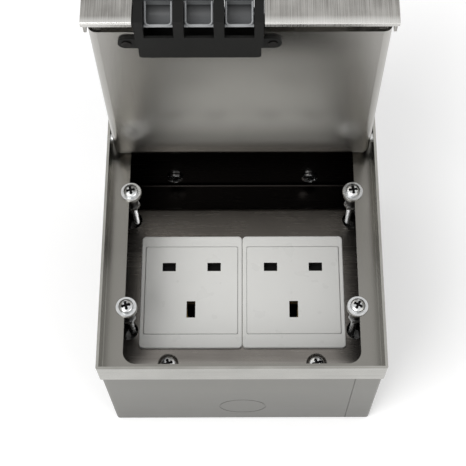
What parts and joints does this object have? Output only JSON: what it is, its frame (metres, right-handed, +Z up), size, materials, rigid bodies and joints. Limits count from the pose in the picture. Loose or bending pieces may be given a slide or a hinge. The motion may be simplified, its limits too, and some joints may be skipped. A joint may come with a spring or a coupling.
{
  "type": "floor socket box",
  "caption": "Square recessed floor box with flush hinged steel lid, lift handle, flapped cable outlet and twin switchless shuttered sockets in a sheet-steel back box.",
  "frame": {"origin": "centre of the back box's floor, on the underside it rests on, lid open upright", "axes": "+Z up, +X to the right seen from the front, +Y away from the front towards the lid's hinge"},
  "size_m": [0.128, 0.128, 0.1988],
  "materials": {
    "back_box": "galvanised sheet steel, dull",
    "socket_tray": "galvanised sheet steel, dull",
    "earth_stud": "bright zinc plate",
    "earth_washers": "bright zinc plate",
    "earth_nuts": "bright zinc plate",
    "rivet_nuts": "bright zinc plate",
    "tray_front_screws": "bright zinc plate",
    "tray_back_screws": "bright zinc plate",
    "left_socket_plate": "moulded white, satin gloss",
    "left_socket_face": "moulded white, satin gloss",
    "left_socket_base": "moulded off-white",
    "left_shutter_spring": "spring wire",
    "left_terminal_screws": "plain brass",
    "left_live_contact": "plain brass",
    "left_neutral_contact": "plain brass",
    "left_earth_contact": "plain brass",
    "right_socket_plate": "moulded white, satin gloss",
    "right_socket_face": "moulded white, satin gloss",
    "right_socket_base": "moulded off-white",
    "right_shutter_spring": "spring wire",
    "right_terminal_screws": "plain brass",
    "right_live_contact": "plain brass",
    "right_neutral_contact": "plain brass",
    "right_earth_contact": "plain brass",
    "frame": "stainless, fine brushed",
    "levelling_screws": "bright zinc plate",
    "levelling_washers": "bright zinc plate",
    "levelling_sleeves": "bright zinc plate",
    "levelling_nuts": "bright zinc plate",
    "lid_pan": "galvanised sheet steel, dull",
    "lid_front_strip": "stainless, fine brushed",
    "lid_skirts": "stainless, fine brushed",
    "hinge_pins": "bright zinc plate",
    "hinge_washers": "bright zinc plate",
    "outlet_bezel": "moulded dark grey, satin",
    "outlet_housing": "moulded black, fine texture",
    "outlet_screws": "bright zinc plate",
    "flap_pin": "bright zinc plate",
    "flap_springs": "spring wire",
    "handle_well": "galvanised sheet steel, dull",
    "handle_pin": "bright zinc plate",
    "handle_plate": "stainless, fine brushed",
    "handle_pad": "moulded black, fine texture",
    "left_cable_flap": "moulded dark grey, satin",
    "middle_cable_flap": "moulded dark grey, satin",
    "right_cable_flap": "moulded dark grey, satin",
    "left_shutter": "moulded off-white",
    "right_shutter": "moulded off-white"
  },
  "bodies": {
    "box": {"back_box": "back_box", "socket_tray": "socket_tray", "earth_stud": "earth_stud", "earth_washers": "earth_washers", "earth_nuts": "earth_nuts", "rivet_nuts": "rivet_nuts", "tray_front_screws": "tray_front_screws", "tray_back_screws": "tray_back_screws", "left_socket_plate": "left_socket_plate", "left_socket_face": "left_socket_face", "left_socket_base": "left_socket_base", "left_shutter_spring": "left_shutter_spring", "left_terminal_screws": "left_terminal_screws", "left_live_contact": "left_live_contact", "left_neutral_contact": "left_neutral_contact", "left_earth_contact": "left_earth_contact", "right_socket_plate": "right_socket_plate", "right_socket_face": "right_socket_face", "right_socket_base": "right_socket_base", "right_shutter_spring": "right_shutter_spring", "right_terminal_screws": "right_terminal_screws", "right_live_contact": "right_live_contact", "right_neutral_contact": "right_neutral_contact", "right_earth_contact": "right_earth_contact"},
    "frame": {"frame": "frame", "levelling_screws": "levelling_screws", "levelling_washers": "levelling_washers", "levelling_sleeves": "levelling_sleeves", "levelling_nuts": "levelling_nuts"},
    "lid": {"lid_pan": "lid_pan", "lid_front_strip": "lid_front_strip", "lid_skirts": "lid_skirts", "hinge_pins": "hinge_pins", "hinge_washers": "hinge_washers", "outlet_bezel": "outlet_bezel", "outlet_housing": "outlet_housing", "outlet_screws": "outlet_screws", "flap_pin": "flap_pin", "flap_springs": "flap_springs", "handle_well": "handle_well", "handle_pin": "handle_pin"},
    "handle": {"handle_plate": "handle_plate", "handle_pad": "handle_pad"},
    "left_cable_flap": {"left_cable_flap": "left_cable_flap"},
    "middle_cable_flap": {"middle_cable_flap": "middle_cable_flap"},
    "right_cable_flap": {"right_cable_flap": "right_cable_flap"},
    "left_shutter": {"left_shutter": "left_shutter"},
    "right_shutter": {"right_shutter": "right_shutter"}
  },
  "joints": [
    {"name": "frame_level", "type": "slide", "parent": "box", "child": "frame", "axis": [0, 0, 1], "range_m": [-0.0013, 0.006]},
    {"name": "lid_hinge", "type": "hinge", "parent": "frame", "child": "lid", "pos_m": [0, 0.052, 0.0845], "axis": [1, 0, 0], "range_deg": [-10, 90]},
    {"name": "handle_hinge", "type": "hinge", "parent": "lid", "child": "handle", "pos_m": [0.0325, 0.0534, 0.1818], "axis": [1, 0, 0], "range_deg": [-70, 10]},
    {"name": "left_flap_hinge", "type": "hinge", "parent": "lid", "child": "left_cable_flap", "pos_m": [-0.0323, 0.0525, 0.1884], "axis": [1, 0, 0], "range_deg": [0, 85], "stiffness_Nm_per_rad": 0.004},
    {"name": "middle_flap_hinge", "type": "hinge", "parent": "lid", "child": "middle_cable_flap", "pos_m": [-0.0163, 0.0525, 0.1884], "axis": [1, 0, 0], "range_deg": [0, 85], "stiffness_Nm_per_rad": 0.004},
    {"name": "right_flap_hinge", "type": "hinge", "parent": "lid", "child": "right_cable_flap", "pos_m": [-0.0003, 0.0525, 0.1884], "axis": [1, 0, 0], "range_deg": [0, 85], "stiffness_Nm_per_rad": 0.004},
    {"name": "left_shutter_slide", "type": "slide", "parent": "box", "child": "left_shutter", "axis": [0, 1, 0], "range_m": [0, 0.005], "stiffness_N_per_m": 150, "deforming": ["left_shutter_spring"]},
    {"name": "right_shutter_slide", "type": "slide", "parent": "box", "child": "right_shutter", "axis": [0, 1, 0], "range_m": [0, 0.005], "stiffness_N_per_m": 150, "deforming": ["right_shutter_spring"]}
  ]
}
